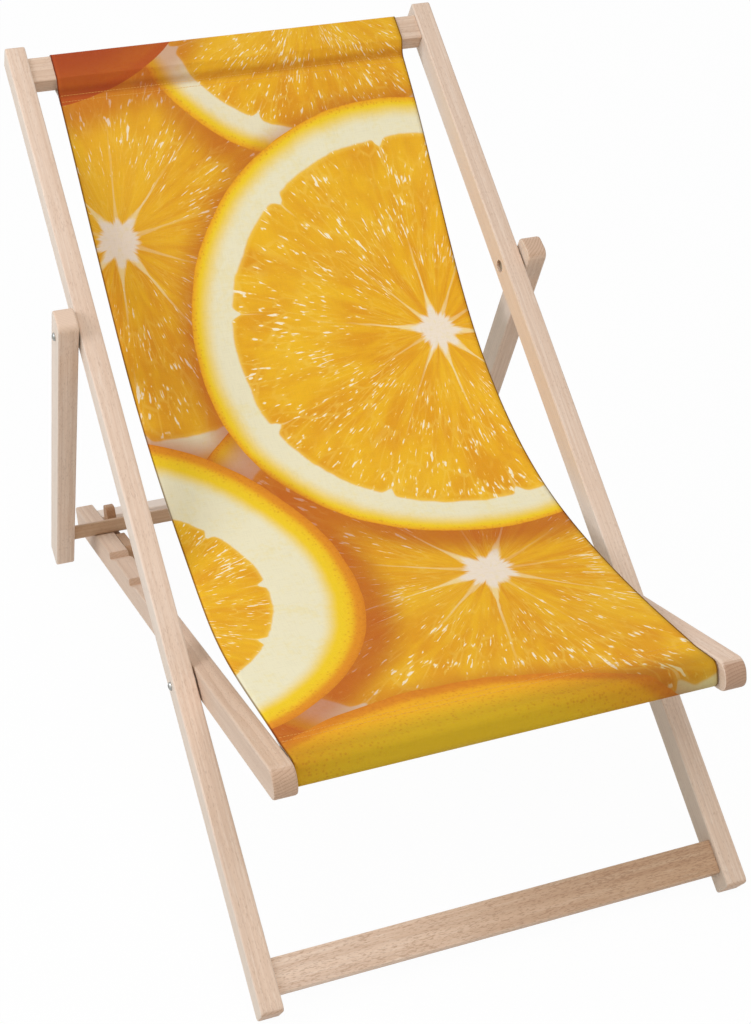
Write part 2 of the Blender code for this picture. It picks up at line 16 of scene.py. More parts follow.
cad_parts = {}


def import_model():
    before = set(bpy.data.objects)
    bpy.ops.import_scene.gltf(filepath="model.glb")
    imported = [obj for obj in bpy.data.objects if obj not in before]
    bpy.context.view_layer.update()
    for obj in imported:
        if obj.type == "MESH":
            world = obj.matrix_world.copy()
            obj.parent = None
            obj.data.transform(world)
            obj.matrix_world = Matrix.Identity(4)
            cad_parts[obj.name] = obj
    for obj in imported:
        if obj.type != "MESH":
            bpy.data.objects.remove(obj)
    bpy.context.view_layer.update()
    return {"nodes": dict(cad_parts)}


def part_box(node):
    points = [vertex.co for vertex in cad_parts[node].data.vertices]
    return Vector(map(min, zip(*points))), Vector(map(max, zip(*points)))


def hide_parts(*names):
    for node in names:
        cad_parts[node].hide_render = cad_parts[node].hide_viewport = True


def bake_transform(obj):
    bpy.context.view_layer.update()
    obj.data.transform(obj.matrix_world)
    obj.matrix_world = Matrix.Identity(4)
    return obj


log = logging.getLogger("lounger")

Pair = tuple[float, float]
Point = tuple[float, float, float]
Colour = tuple[float, float, float, float]
Array = np.ndarray
Material = bpy.types.Material
Node = bpy.types.Node
Object = bpy.types.Object
Socket = bpy.types.NodeSocket


def linear(written: str) -> Colour:
    """Turns a written colour into the linear one that a socket takes.

    Args:
        written: six hexadecimal digits after a hash sign.

    Returns:
        Red, green, blue and an opacity of one.
    """
    parts = np.array([int(written[i:i + 2], 16) for i in (1, 3, 5)]) / 255
    flat = np.where(parts <= 0.04045, parts / 12.92, ((parts + 0.055) / 1.055) ** 2.4)
    return (float(flat[0]), float(flat[1]), float(flat[2]), 1.0)


# Material arithmetic


class Value:
    """A number that changes over a surface: plain arithmetic on it adds Math nodes.

    Its part is what is left above the whole number below, its wave the sine of it as an
    angle, and its bearing the angle whose rise it is and whose run is the other number.
    """

    def __init__(self, net: Net, socket: Socket) -> None:
        """Keeps the tree and the output socket that carries the number."""
        self.net = net
        self.socket = socket

    def _with(self, operation: str, *others: Number, swap: bool = False) -> Value:
        """Adds one Math node.

        Args:
            operation: the node's operation.
            others: the other numbers or values that it works on.
            swap: whether the first of the others comes before this value.

        Returns:
            The node's result.
        """
        terms: list[Any] = [self, *others]
        if swap:
            terms[0], terms[1] = terms[1], terms[0]
        node = self.net.node("ShaderNodeMath", {"operation": operation}, dict(enumerate(terms)))
        return Value(self.net, node.outputs[0])

    __add__ = __radd__ = partialmethod(_with, "ADD")
    __sub__ = partialmethod(_with, "SUBTRACT")
    __rsub__ = partialmethod(_with, "SUBTRACT", swap=True)
    __mul__ = __rmul__ = partialmethod(_with, "MULTIPLY")
    __truediv__ = partialmethod(_with, "DIVIDE")
    __rtruediv__ = partialmethod(_with, "DIVIDE", swap=True)
    __pow__ = partialmethod(_with, "POWER")
    __lt__ = partialmethod(_with, "LESS_THAN")
    __abs__ = partialmethod(_with, "ABSOLUTE")
    least = partialmethod(_with, "MINIMUM")
    most = partialmethod(_with, "MAXIMUM")
    part = partialmethod(_with, "FRACT")
    wave = partialmethod(_with, "SINE")
    bearing = partialmethod(_with, "ARCTAN2")

    def rise(self, low: float, high: float) -> Value:
        """Climbs smoothly from zero at low to one at high."""
        node = self.net.node("ShaderNodeMapRange", {"interpolation_type": "SMOOTHSTEP"},
                             {"Value": self, "From Min": low, "From Max": high})
        return Value(self.net, node.outputs[0])

    def fall(self, low: float, high: float) -> Value:
        """One below low, zero above high."""
        return 1.0 - self.rise(low, high)


Number = float | Value
Shade = Colour | Socket
Spot = Point | Socket


class Net:
    """The node tree of one material or world, with the calls that add to it."""

    def __init__(self, name: str, library: Any = None) -> None:
        """Starts an empty material or world.

        Args:
            name: what it is called.
            library: the file's worlds, for a world.
        """
        self.owner = (bpy.data.materials if library is None else library).new(name)
        self.owner.use_nodes = True
        self.tree = self.owner.node_tree
        self.tree.nodes.clear()

    def node(self, kind: str, settings: dict[str, Any] | None = None,
             inputs: dict[Any, Any] | None = None) -> Node:
        """Adds a node.

        Args:
            kind: the node's type.
            settings: its own settings, set first.
            inputs: a value, colour or link for each socket, by name or number. None leaves
                the socket as it is.

        Returns:
            The new node.
        """
        made = self.tree.nodes.new(kind)
        for name, setting in (settings or {}).items():
            setattr(made, name, setting)
        for key, given in (inputs or {}).items():
            source = given.socket if isinstance(given, Value) else given
            if isinstance(source, Socket):
                self.tree.links.new(source, made.inputs[key])
            elif source is not None:
                made.inputs[key].default_value = source
        return made

    def value(self, node: Node, output: int | str = 0) -> Value:
        """One output of a node as a number."""
        return Value(self, node.outputs[output])

    def coordinates(self, which: str = "Object") -> Socket:
        """The object's own coordinates, or its own normal."""
        return self.node("ShaderNodeTexCoord").outputs[which]

    def map(self, where: Spot, scale: Point | None = None, turn: Point | None = None,
            shift: Point | None = None, kind: str = "POINT") -> Socket:
        """Scales, then turns, then shifts coordinates."""
        inputs = {"Vector": where, "Rotation": turn, "Scale": scale, "Location": shift}
        return self.node("ShaderNodeMapping", {"vector_type": kind}, inputs).outputs[0]

    def split(self, vector: Socket) -> tuple[Value, Value, Value]:
        """The three parts of a vector."""
        node = self.node("ShaderNodeSeparateXYZ", {}, {0: vector})
        return self.value(node, 0), self.value(node, 1), self.value(node, 2)

    def join(self, x: Number, y: Number, z: Number) -> Socket:
        """A vector of three parts."""
        return self.node("ShaderNodeCombineXYZ", {}, {0: x, 1: y, 2: z}).outputs[0]

    def vector(self, operation: str, first: Spot, second: Spot | None = None,
               scale: float | None = None) -> Socket:
        """One Vector Math node."""
        return self.node("ShaderNodeVectorMath", {"operation": operation},
                         {0: first, 1: second, "Scale": scale}).outputs[0]

    def length(self, vector: Socket) -> Value:
        """How long a vector is."""
        node = self.node("ShaderNodeVectorMath", {"operation": "LENGTH"}, {0: vector})
        return self.value(node, "Value")

    def noise(self, where: Spot, scale: float = 1.0, detail: float = 2.0, rough: float = 0.5,
              bend: float = 0.0) -> Value:
        """Soft noise from zero to one over these coordinates."""
        return self.value(self.node("ShaderNodeTexNoise", {}, {
            "Vector": where, "Scale": scale, "Detail": detail, "Roughness": rough,
            "Distortion": bend}))

    def cells(self, where: Spot, scale: float = 1.0, feature: str = "F1") -> Value:
        """Distance to the nearest of many scattered points, or to the border between them."""
        node = self.node("ShaderNodeTexVoronoi", {"feature": feature},
                         {"Vector": where, "Scale": scale})
        return self.value(node, "Distance")

    def blend(self, share: Number, first: Shade, second: Shade,
              kind: str = "MIX") -> Socket:
        """One Mix node on colours, from the first to the second."""
        settings = {"data_type": "RGBA", "blend_type": kind}
        return self.node("ShaderNodeMix", settings, {0: share, 6: first, 7: second}).outputs[2]

    def paint(self, ground: Shade, *coats: tuple[Any, ...]) -> Shade:
        """Lays coats of colour over a ground, one Mix node each.

        Args:
            ground: what is painted.
            coats: each coat's share, its written colour and, unless it mixes, its kind.

        Returns:
            The painted colour.
        """
        for share, written, *kind in coats:
            ground = self.blend(share, ground, linear(written), *kind)
        return ground

    def choose(self, share: Number, first: Spot, second: Spot) -> Socket:
        """One Mix node on vectors, from the first to the second."""
        return self.node("ShaderNodeMix", {"data_type": "VECTOR"},
                         {0: share, 4: first, 5: second}).outputs[1]

    def relief(self, height: Value, strength: float, depth: float) -> Socket:
        """A normal that is roughened by a height, in metres of depth."""
        return self.node("ShaderNodeBump", {}, {
            "Strength": strength, "Distance": depth, "Height": height}).outputs[0]

    def finish(self, **sockets: Any) -> Material:
        """Ends in one Principled shader.

        Args:
            sockets: what goes to each of its sockets, with underscores for spaces.

        Returns:
            The finished material.
        """
        inputs = {name.replace("_", " "): given for name, given in sockets.items()}
        shader = self.node("ShaderNodeBsdfPrincipled", {}, inputs)
        self.node("ShaderNodeOutputMaterial", {}, {0: shader.outputs[0]})
        return self.owner


# Finishes

MAIN_SLOPE = 34.2
SEAT_SLOPE = -17.0113
PROP_SLOPE = -65.680
PROP_BAR_SLOPE = -30.197


class Lie(Enum):
    """How a wooden member lies: its slope in degrees and whether it runs across."""

    MAIN_ALONG = (MAIN_SLOPE, False)
    MAIN_ACROSS = (MAIN_SLOPE, True)
    SEAT_ALONG = (SEAT_SLOPE, False)
    SEAT_ACROSS = (SEAT_SLOPE, True)
    PROP_ALONG = (PROP_SLOPE, False)
    PROP_ACROSS = (PROP_BAR_SLOPE, True)

    @property
    def across(self) -> bool:
        """Whether the member runs from side to side."""
        return self.value[1]

    @property
    def turn(self) -> Point:
        """The turn that lays the member's length along the second axis."""
        return (-math.radians(self.value[0]), 0.0, math.pi / 2 if self.across else 0.0)

    def local(self, point: Vector) -> Vector:
        """A point, turned in the same way."""
        return Euler(self.turn).to_matrix() @ point


@dataclass(frozen=True)
class Board:
    """One wooden member: its node, how it lies and how its timber was cut.

    The tone pales the wood above zero and browns it below. The pith is where the rings'
    centre lies, beside and over the member's middle. The painted shade along the member
    darkens it more towards one end, the figure adds flecks, and the end tone darkens its
    end grain, or below zero pales it.
    """

    node: str
    lie: Lie
    seed: int
    tone: float = 0.0
    pith: Pair = (0.055, 0.038)
    painted_shade_along: float = 0.0
    figure: float = 0.0
    end_tone: float = 0.0


@dataclass(frozen=True)
class Beech:
    """Planed and sanded beech without varnish, with flecks, growth lines, end grain and a painted
    highlight along its rounded edges.
    """

    face: str = "#e6cab2"
    warm: str = "#d7b9a0"
    pale: str = "#efddcc"
    line: str = "#c09b80"
    fleck: str = "#a37d60"
    brown: str = "#d9c6ae"
    # colour of the painted light on the side faces
    painted_side_light: str = "#e3dccd"
    end: str = "#cead92"
    end_line: str = "#a68166"
    end_dark: str = "#d5c5bb"
    line_spacing: float = 0.0031
    sawn_from: Pair = (0.40, 0.43)
    # shares of that painted side light: on most long members, and on the rails and the catch
    side_light_share: float = 0.42
    side_light_on_rails: float = 0.15

    def material(self, board: Board) -> Material:
        """Makes the member's own cut of the timber.

        Growth lines are rings round a pith beside the member, bent by noise that is long
        along the grain. Fibres, streaks and flecks are noise stretched along the grain.
        The sides of a long member are painted paler and greyer, as painted light from the side,
        less so on the rails and the catch; and the cuts away from the ends of the rails and of
        the catch are sanded like the faces.

        Args:
            board: the member.

        Returns:
            Its material.
        """
        net = Net("beech_" + board.node)
        low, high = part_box(board.node)
        centre = board.lie.local((Vector(low) + Vector(high)) / 2)
        turn = board.lie.turn
        place = net.map(net.coordinates(), turn=turn, shift=tuple(-centre))
        facing = net.map(net.coordinates("Normal"), turn=turn, kind="VECTOR")
        side, along, depth = net.split(place)
        face_side, face_along, face_depth = net.split(facing)
        drift = (board.seed * 0.731, board.seed * 1.37, board.seed * 0.417)

        def grain(fine: float, long: float, detail: float = 1.0, rough: float = 0.5) -> Value:
            """Noise that changes so many times a metre across and along the grain."""
            return net.noise(net.map(place, (fine, long, fine), shift=drift), 1.0, detail, rough)

        end = abs(face_along).rise(0.40, 0.64)
        sanded = board.lie is Lie.SEAT_ALONG
        if sanded:
            end = end * (0.35 + 0.65 * abs(along).rise(*self.sawn_from))
        # painted highlight: a mask of the rounded edges, painted paler below and made a little less
        # rough
        edge = (abs(face_side) * abs(face_depth) * 2).rise(0.25, 0.9)

        beside, over = side - board.pith[0], depth - board.pith[1]
        from_pith = net.length(net.join(beside, 0.0, over))
        bent = from_pith + grain(22, 2.1, 2) * 0.011 + grain(160, 9) * 0.0006
        rings = bent / self.line_spacing
        late = rings.part() ** 4 * rings.part().fall(0.93, 1.0)
        year = net.noise(net.join(rings * 0.23, 0.0, 0.0), detail=0)
        rays = net.noise(net.join(beside / over * 90, 0.0, from_pith * 60), detail=1)
        fibres = grain(620, 11, 3, 0.6)
        streaks = grain(95, 1.7, 3)
        dashes = grain(430, 48, 2)
        patches = grain(50, 22)
        pores = grain(1500, 200)
        flecked = grain(1300, 190) + patches * 0.22 + board.figure * 0.06
        flecks = flecked.rise(0.71, 0.80) * (1 - end)

        colour = net.paint(
            linear(self.warm),
            (streaks.rise(0.30, 0.72), self.face),
            (fibres.rise(0.42, 0.72) * 0.45, self.pale),
            (dashes.fall(0.28, 0.44) * 0.36, self.warm),
            (dashes.rise(0.60, 0.74) * 0.38, self.pale),
            (late * 0.50 * (0.4 + year), self.line),
            (flecks * (0.32 + 0.14 * board.figure), self.fleck),
            (grain(14, 1.2).rise(0.35, 0.75) * 0.25, self.warm))
        # painted light: side faces of long members are tinted paler and greyer, standing in for
        # cool light from the side
        if not board.lie.across:
            painted_side_light = self.side_light_on_rails if sanded else self.side_light_share
            colour = net.paint(colour, (abs(face_side).rise(0.6, 0.9) * painted_side_light, self.painted_side_light))
        # the end tone darkens the end grain above zero and pales it below zero
        end_toning = (self.end_dark, "MULTIPLY") if board.end_tone > 0 else (self.face,)
        ends = net.paint(
            linear(self.end),
            (late * 0.9, self.end_line),
            (rays.rise(0.5, 0.75) * 0.35, self.face),
            (pores.rise(0.60, 0.72) * 0.5, self.end_line),
            (rays.rise(0.70, 0.76) * patches.rise(0.45, 0.6) * 0.7, self.fleck),
            (abs(board.end_tone), *end_toning))
        toning = (self.pale,) if board.tone > 0 else (self.brown, "MULTIPLY")
        colour = net.paint(
            net.blend(end, colour, ends),
            # painted highlight along the rounded edges
            (edge * 0.20, self.pale),
            (abs(board.tone), *toning))
        # painted shade: darkens the member more and more along its length
        if board.painted_shade_along:
            share = (along / 0.5 + 0.5).rise(-0.1, 1.0) * board.painted_shade_along
            colour = net.paint(colour, (share, self.brown, "MULTIPLY"))
        rough = 0.50 + fibres * 0.16 + flecks * 0.06 - edge * 0.06
        height = fibres * 0.5 + late * 0.35 - flecks * 0.5 - end * pores * 0.8
        return net.finish(Base_Color=colour, Roughness=rough,
                          Normal=net.relief(height, 0.35, 0.0004))


@dataclass(frozen=True)
class PlatedSteel:
    """Zinc plated steel: bright, a little streaked, duller where fingers and tools touched."""

    bright: str = "#b9b9b5"
    dull: str = "#848583"
    tint: str = "#cfc9b4"

    def material(self) -> Material:
        """Makes the plating from two sizes of noise, one for its tint and one for its wear.

        Returns:
            The plating's material.
        """
        net = Net("zinc_plated_steel")
        place = net.coordinates()
        cloud = net.noise(place, 180.0)
        grit = net.noise(place, 1400.0)
        colour = net.paint(linear(self.bright), (cloud.rise(0.35, 0.7), self.dull),
                           (cloud.rise(0.5, 0.8) * 0.4, self.tint))
        return net.finish(Base_Color=colour, Metallic=1.0,
                          Roughness=0.24 + cloud * 0.14 + grit * 0.1,
                          Normal=net.relief(grit, 0.2, 0.0001))


@dataclass(frozen=True)
class Slice:
    """One citrus slice of the print: where it lies on the cloth, in metres.

    The widths of its zest and of its pith are shares of its radius. Its light is how bright
    it was in the picture, and its shadow how much it darkens what lies under its rim.
    """

    across: float
    down: float
    radius: float
    turn: float
    segments: int
    zest: float = 0.035
    pith: float = 0.13
    light: float = 1.0
    shadow: float = 0.6


@dataclass(frozen=True)
class PrintedCanvas:
    """Plain weave canvas with a print of overlapping citrus slices on its upper face."""

    flesh: str = "#f0b61c"
    flesh_deep: str = "#e39b18"
    flesh_light: str = "#f5c42c"
    vesicle: str = "#f7cd55"
    membrane: str = "#f6dc9a"
    pith: str = "#eee5c2"
    pith_warm: str = "#ecd98c"
    core: str = "#f2e4d0"
    zest_inner: str = "#f3cb22"
    zest: str = "#efab1c"
    zest_orange: str = "#df8a1e"
    zest_deep: str = "#cc7018"
    peel: str = "#9a401d"
    glint: str = "#fdf3d6"
    under: str = "#bb4a1e"
    umber: str = "#b9855e"
    lime: str = "#b4a838"
    # colour of the painted shade along the cloth's side edges
    edge: str = "#7d5a2c"
    back: str = "#ece6da"
    yarn_lit: str = "#ffffff"
    yarn_dark: str = "#5a3010"
    yarn_grey: str = "#c9bfae"
    yarn_pitch: float = 0.00085
    # where the painted shade along the side edges starts, and how wide it grows
    edge_from: float = 0.2168
    edge_width: float = 0.0015
    # from here to the front end, the lime tint is partly print and partly painted shade on the
    # front sleeve
    front_from: float = 0.955
    shadow_fall: Point = (0.006, 0.014, 0.0)
    ground: Slice = Slice(0.0, 0.0, 1.0, 0.0, 10, zest=0.05, light=0.45)
    ground_place: Point = (1.35, 0.2, 0.0)
    slices: tuple[Slice, ...] = (
        Slice(-0.120, 1.060, 0.250, 0.33, 9, light=0.7),
        Slice(-0.190, 0.190, 0.305, 0.03, 10, light=0.87),
        Slice(0.110, -0.105, 0.235, 0.11, 9, zest=0.05, light=0.93),
        Slice(0.095, 0.735, 0.360, 0.07, 11, light=0.95),
        Slice(0.172, 0.360, 0.305, 0.16, 10, shadow=0.8),
        Slice(-0.310, 0.690, 0.262, 0.21, 10, zest=0.11, pith=0.26, shadow=0.9),
        Slice(-0.060, 1.250, 0.325, 0.02, 9, zest=0.30, pith=0.20, light=0.97),
        Slice(-0.240, -0.225, 0.240, 0.40, 9, zest=0.90, light=0.10),
    )

    def layout(self, net: Net, plane: Spot, wander: Value) -> tuple[Spot, Spot, Number]:
        """Finds the slice that lies on top.

        Every slice in turn claims what lies inside its radius and shades what lies under
        its rim. Where none lies, the ground shows.

        Args:
            net: the material's tree.
            plane: the place on the cloth.
            wander: how far the rims wander, as a share of their radius.

        Returns:
            The place in that slice, its segments, zest and pith, and its light.
        """
        local: Spot = self.ground_place
        facts: Spot = (float(self.ground.segments), self.ground.zest, self.ground.pith)
        shade: Number = self.ground.light
        for piece in self.slices:
            size = 1 / piece.radius
            lies = net.vector("SUBTRACT", plane, (piece.across, piece.down, 0.0))
            towards = net.map(lies, (size,) * 3, turn=(0.0, 0.0, piece.turn * 2 * math.pi))
            fallen = net.vector("SUBTRACT", lies, self.shadow_fall)
            lit = (net.length(fallen) * size + wander).rise(0.985, 1.0 + 0.042 * size)
            inside = net.length(towards) + wander < 1.0
            shade = (1 - piece.shadow * (1 - lit)) * shade
            shade = shade + inside * (piece.light - shade)
            local = net.choose(inside, local, towards)
            facts = net.choose(inside, facts, (float(piece.segments), piece.zest, piece.pith))
        return local, facts, shade

    def fruit(self, net: Net, plane: Spot, wander: Value, local: Spot, facts: Spot) -> Shade:
        """Paints the cut face: flesh in segments round a pale core, then pith, then zest.

        Walls stand where the angle passes a whole number of segments. Every layer is noise
        over coordinates that run round the core and outwards from it.

        Args:
            net: the material's tree.
            plane: the place on the cloth.
            wander: how far the rims wander, as a share of their radius.
            local: the place in the slice.
            facts: the slice's segments, zest and pith.

        Returns:
            The colour in full light.
        """
        x, y, _ = net.split(local)
        count, zest, pith = net.split(facts)
        out = net.length(local) + wander
        angle = y.bearing(x) / (2 * math.pi)
        unit = net.vector("NORMALIZE", local)

        def ring(round_about: float, outwards: float) -> Socket:
            """Coordinates that run round the core and outwards from it, without a seam."""
            about = net.vector("SCALE", unit, scale=round_about)
            return net.vector("ADD", about, net.join(0.0, 0.0, out * outwards))

        rays = net.noise(ring(6.5, 4.0), detail=3, rough=0.55, bend=0.4)
        fine_rays = net.noise(ring(24.0, 9.0), detail=3, rough=0.6, bend=0.5)
        vesicles = net.cells(ring(15.0, 7.5), feature="DISTANCE_TO_EDGE")
        wet = net.noise(ring(58.0, 23.0), detail=1, rough=0.4, bend=0.4)
        drops = net.noise(plane, 260.0, detail=0)
        cluster = net.noise(plane, 21.0)
        patch = net.noise(plane, 9.0)
        cloud = net.noise(plane, 5.0)
        grit = net.noise(plane, 160.0)

        order = angle * count + (rays - 0.5) * 0.12
        within = order.part()
        from_wall = within.least(1 - within) / count * (2 * math.pi)
        nearest = order + 0.5 - (order + 0.5).part()
        stout = net.noise(net.join(nearest * 3.71, count, zest * 40), detail=0).rise(0.38, 0.60)
        wall_reach = from_wall * out
        wall_half = 0.0036 + (0.004 + 0.017 * stout) * out.fall(0.03, 0.19)
        wall = (wall_reach / wall_half + (fine_rays - 0.5) * 0.9).fall(0.45, 1.35)
        notch = wall_reach.fall(0.0, 0.045)
        flesh_end = 1.0 - zest - pith - 0.034 * notch ** 2 + (rays - 0.5) * 0.022
        past_flesh = out - flesh_end
        core_end = 0.070 + 0.034 * from_wall.fall(0.0, 0.30) * stout + (rays - 0.5) * 0.08
        flesh = past_flesh.fall(-0.004, 0.008) * (out - core_end).rise(-0.012, 0.012)

        wall_seen = out.fall(0.16, 0.42) * (0.25 + 0.65 * stout) + patch.rise(0.50, 0.66) * 0.25
        wall_seen = (wall_seen + past_flesh.rise(-0.10, 0.0) * 0.45).least(1.0)
        wetness = wet + cluster * 0.42 + wall * 0.06 + (drops - 0.5) * 0.10
        wetness = wetness - out.fall(0.10, 0.35) * 0.12
        juice = net.paint(
            linear(self.flesh_deep),
            (rays.rise(0.30, 0.72), self.flesh),
            (cloud.rise(0.40, 0.70) * 0.55, self.flesh_light),
            (fine_rays.rise(0.52, 0.76) * 0.22, self.flesh_deep),
            (vesicles.fall(0.02, 0.10) * cluster.rise(0.35, 0.6) * 0.34, self.vesicle),
            (wall * wall_seen, self.membrane),
            (past_flesh.rise(-0.022, 0.0) * 0.5, self.vesicle),
            (wetness.rise(0.81, 0.88) * 0.50, self.vesicle),
            (wetness.rise(0.885, 0.95) * 0.85, self.glint))

        white = net.paint(
            linear(self.core),
            (out.rise(0.2, 0.3), self.pith),
            ((grit + rays).rise(0.95, 1.35) * 0.35, self.pith_warm))
        past_pith = out - 1 + zest
        depth = past_pith / zest + (grit - 0.5) * 0.30
        rusty = 0.95 - (out + patch * 0.30).rise(0.86, 1.16) * 0.75
        skin = net.paint(
            linear(self.zest_inner),
            (depth.rise(0.15, 0.90), self.zest),
            ((1 - out).fall(0.024, 0.062) * zest.rise(0.05, 0.10) * 0.9, self.zest_orange),
            (depth.rise(0.80, 1.10) * 0.7, self.zest_deep),
            (zest.rise(0.3, 0.6) * rusty, self.peel),
            (net.cells(plane, 230.0).fall(0.12, 0.42) * depth.rise(0.1, 0.4) * 0.35,
             self.zest_deep))
        rind = net.blend((past_pith + (rays - 0.5) * 0.02).rise(-0.07, 0.012), white, skin)
        return net.blend(flesh, rind, juice)

    def material(self) -> Material:
        """Draws the print in the cloth's own place, in metres, held as an attribute.

        Over the fruit lie the slices' printed shadows, painted shade in the hem's crease, a
        lime tint on the front sleeve that is partly print and partly painted shade, the weave
        and painted shade along the side edges.
        The lower face is unprinted.

        Returns:
            The canvas material.
        """
        net = Net("printed_canvas")
        cloth = net.node("ShaderNodeAttribute", {"attribute_name": "cloth_place"}).outputs["Vector"]
        across, down, facing = net.split(cloth)
        plane = net.join(across, down, 0.0)
        wander = (net.noise(plane, 7.0, detail=3) - 0.5) * 0.035
        patch = net.noise(plane, 9.0)
        local, facts, shade = self.layout(net, plane, wander)
        warp = (across * (2 * math.pi / self.yarn_pitch)).wave()
        weft = (down * (2 * math.pi / self.yarn_pitch)).wave()
        weave = warp * weft
        slub = net.noise(net.map(plane, (900, 60, 1)), detail=1) + net.noise(
            net.map(plane, (60, 900, 1)), detail=1)
        dark = 1 - shade
        # painted shade: a darker band in the crease below the top hem's seam
        crease_shade = abs(down + 0.002 + (patch - 0.5) * 0.006).fall(0.001, 0.011)
        # painted shade: a dark line along both side edges of the cloth
        painted_edge_shade = abs(across).rise(self.edge_from, self.edge_from + self.edge_width)
        ink = net.paint(
            self.fruit(net, plane, wander, local, facts),
            (dark * 0.60, self.umber, "MULTIPLY"),
            (dark * 0.62, self.under),
            (crease_shade * 0.50, self.umber, "MULTIPLY"),
            # partly print and partly painted shade: a lime tint darkening the front sleeve
            (down.rise(self.front_from, 1.0) * 0.6, self.lime, "MULTIPLY"),
            (weave.rise(0.2, 1.0) * 0.06, self.yarn_lit),
            (slub.rise(0.9, 1.3) * 0.05, self.yarn_dark),
            (painted_edge_shade * 0.75, self.edge, "MULTIPLY"))
        bare = net.paint(net.blend(0.16, linear(self.back), ink),
                         (slub.rise(0.8, 1.3) * 0.12, self.yarn_grey))
        return net.finish(Base_Color=net.blend(facing < 0.0, ink, bare),
                          Roughness=0.74 + weave * 0.04 + slub * 0.04, Specular_IOR_Level=0.12,
                          Normal=net.relief(weave * 0.5 + slub * 0.8, 0.30, 0.0003))


@dataclass(frozen=True)
class Thread:
    """Spun polyester sewing thread."""

    strand: str = "#dda344"
    lit: str = "#ecbf6c"
    ply_pitch: float = 0.0009

    def material(self) -> Material:
        """Makes a thread whose plies show as a fine slanted wave.

        Returns:
            The thread's material.
        """
        net = Net("sewing_thread")
        place = net.coordinates()
        x, y, z = net.split(place)
        plies = ((x + y * 0.7 + z * 0.7) * (2 * math.pi / self.ply_pitch)).wave()
        fuzz = net.noise(place, 900.0, detail=1)
        colour = net.paint(linear(self.strand), (plies.rise(-0.4, 0.9) * 0.7, self.lit))
        return net.finish(Base_Color=colour, Roughness=0.62 + fuzz * 0.2,
                          Normal=net.relief(plies, 0.4, 0.0001))


# Geometry helpers


TURN_STEPS = 6
SAME_PLACE = 1e-5
PROBE = 0.0006


def ray(angle: float | Array) -> Array:
    """Unit vector at an angle in the side plane, as rearward and upward parts."""
    return np.stack([np.cos(angle), np.sin(angle)], axis=-1)


@dataclass(frozen=True)
class SideFrame:
    """A frame of the lounger seen from its side: its pivot and its slope."""

    pivot: Pair
    slope: float

    def at(self, length: float, rise: float) -> Array:
        """Turns a place along and above the frame into rearward and upward metres."""
        tilt = math.radians(self.slope)
        return np.array(self.pivot) + length * ray(tilt) + rise * ray(tilt + math.pi / 2)

    def normal(self, quarter_turns: int) -> float:
        """Angle of the frame's own direction, so many quarter turns on from its length."""
        return math.radians(self.slope) + quarter_turns * math.pi / 2


def arc(centre: Array, radius: float, start: float, end: float, steps: int) -> Array:
    """Points on a circle, evenly spaced in angle from start to end."""
    return centre + radius * ray(np.linspace(start, end, steps + 1))


def travel(line: Array) -> Array:
    """How far along a line each of its points lies."""
    return np.concatenate([[0.0], np.cumsum(np.hypot(*np.diff(line, axis=0).T))])


def place_on(line: Array, travelled: Array, reach: Array) -> Array:
    """The places that lie so far along a line."""
    return np.stack([np.interp(reach, travelled, line[:, k]) for k in (0, 1)], axis=-1)


def straight(start: Array, end: Array, steps: int) -> Array:
    """Points evenly spaced between two ends, without the ends."""
    share = np.linspace(0.0, 1.0, steps + 1)[1:-1, None]
    return start + (end - start) * share


def bezier(controls: Array, steps: int) -> Array:
    """Bezier curve: each control weighted by its binomial share of t and 1 - t.

    Args:
        controls: one row for each control point.
        steps: how many stretches the curve has.

    Returns:
        Its points, evenly spaced in t.
    """
    t = np.linspace(0.0, 1.0, steps + 1)[:, None]
    power = len(controls) - 1
    weights = [math.comb(power, k) * t ** k * (1 - t) ** (power - k) for k in range(power + 1)]
    return sum(w * c for w, c in zip(weights, controls))


def fold(before: Array, corner: Array, after: Array, reach: float) -> Array:
    """Parabola that rounds a corner.

    Args:
        before: a point on the way to the corner.
        corner: the corner.
        after: a point on the way on.
        reach: how far from the corner the parabola starts and ends at most.

    Returns:
        Its points.
    """
    arms = [other - corner for other in (before, after)]
    ends = [corner + arm * min(1.0, reach / float(np.hypot(*arm))) for arm in arms]
    return bezier(np.array([ends[0], corner, ends[1]]), TURN_STEPS)


def touch_angle(centre: Array, radius: float, outside: Array, sign: int) -> float:
    """Where a line from an outside point touches a circle.

    Args:
        centre: the circle's centre.
        radius: its radius.
        outside: the point.
        sign: one or minus one, for the side on which it touches.

    Returns:
        The angle of the touching point, from zero to a full turn.
    """
    towards = outside - centre
    turn = math.atan2(towards[1], towards[0]) + sign * math.acos(radius / float(np.hypot(*towards)))
    return turn % (2 * math.pi)


def make_mesh(name: str, points: Array, quads: Array, smooth: Array,
              material: Material) -> Object:
    """Puts vertices and quads into a new object.

    Args:
        name: the piece's name.
        points: one row of three coordinates for each vertex.
        quads: one row of four vertex numbers for each face.
        smooth: whether each face is shaded smooth.
        material: the finish.

    Returns:
        The object, at the origin.
    """
    mesh = bpy.data.meshes.new(name)
    mesh.from_pydata(points.tolist(), [], quads.tolist())
    mesh.polygons.foreach_set("use_smooth", smooth.astype(bool))
    mesh.validate()
    mesh.materials.append(material)
    made = bpy.data.objects.new(name, mesh)
    bpy.context.scene.collection.objects.link(made)
    return made


def cover(node: Object, material: Material) -> None:
    """Puts one material in all of a node's slots."""
    for place in node.material_slots:
        place.material = material


# The lounger

MAIN_PIVOT = (-0.18772, 0.20951)
MAIN = SideFrame(MAIN_PIVOT, MAIN_SLOPE)
SEAT = SideFrame(MAIN_PIVOT, SEAT_SLOPE)


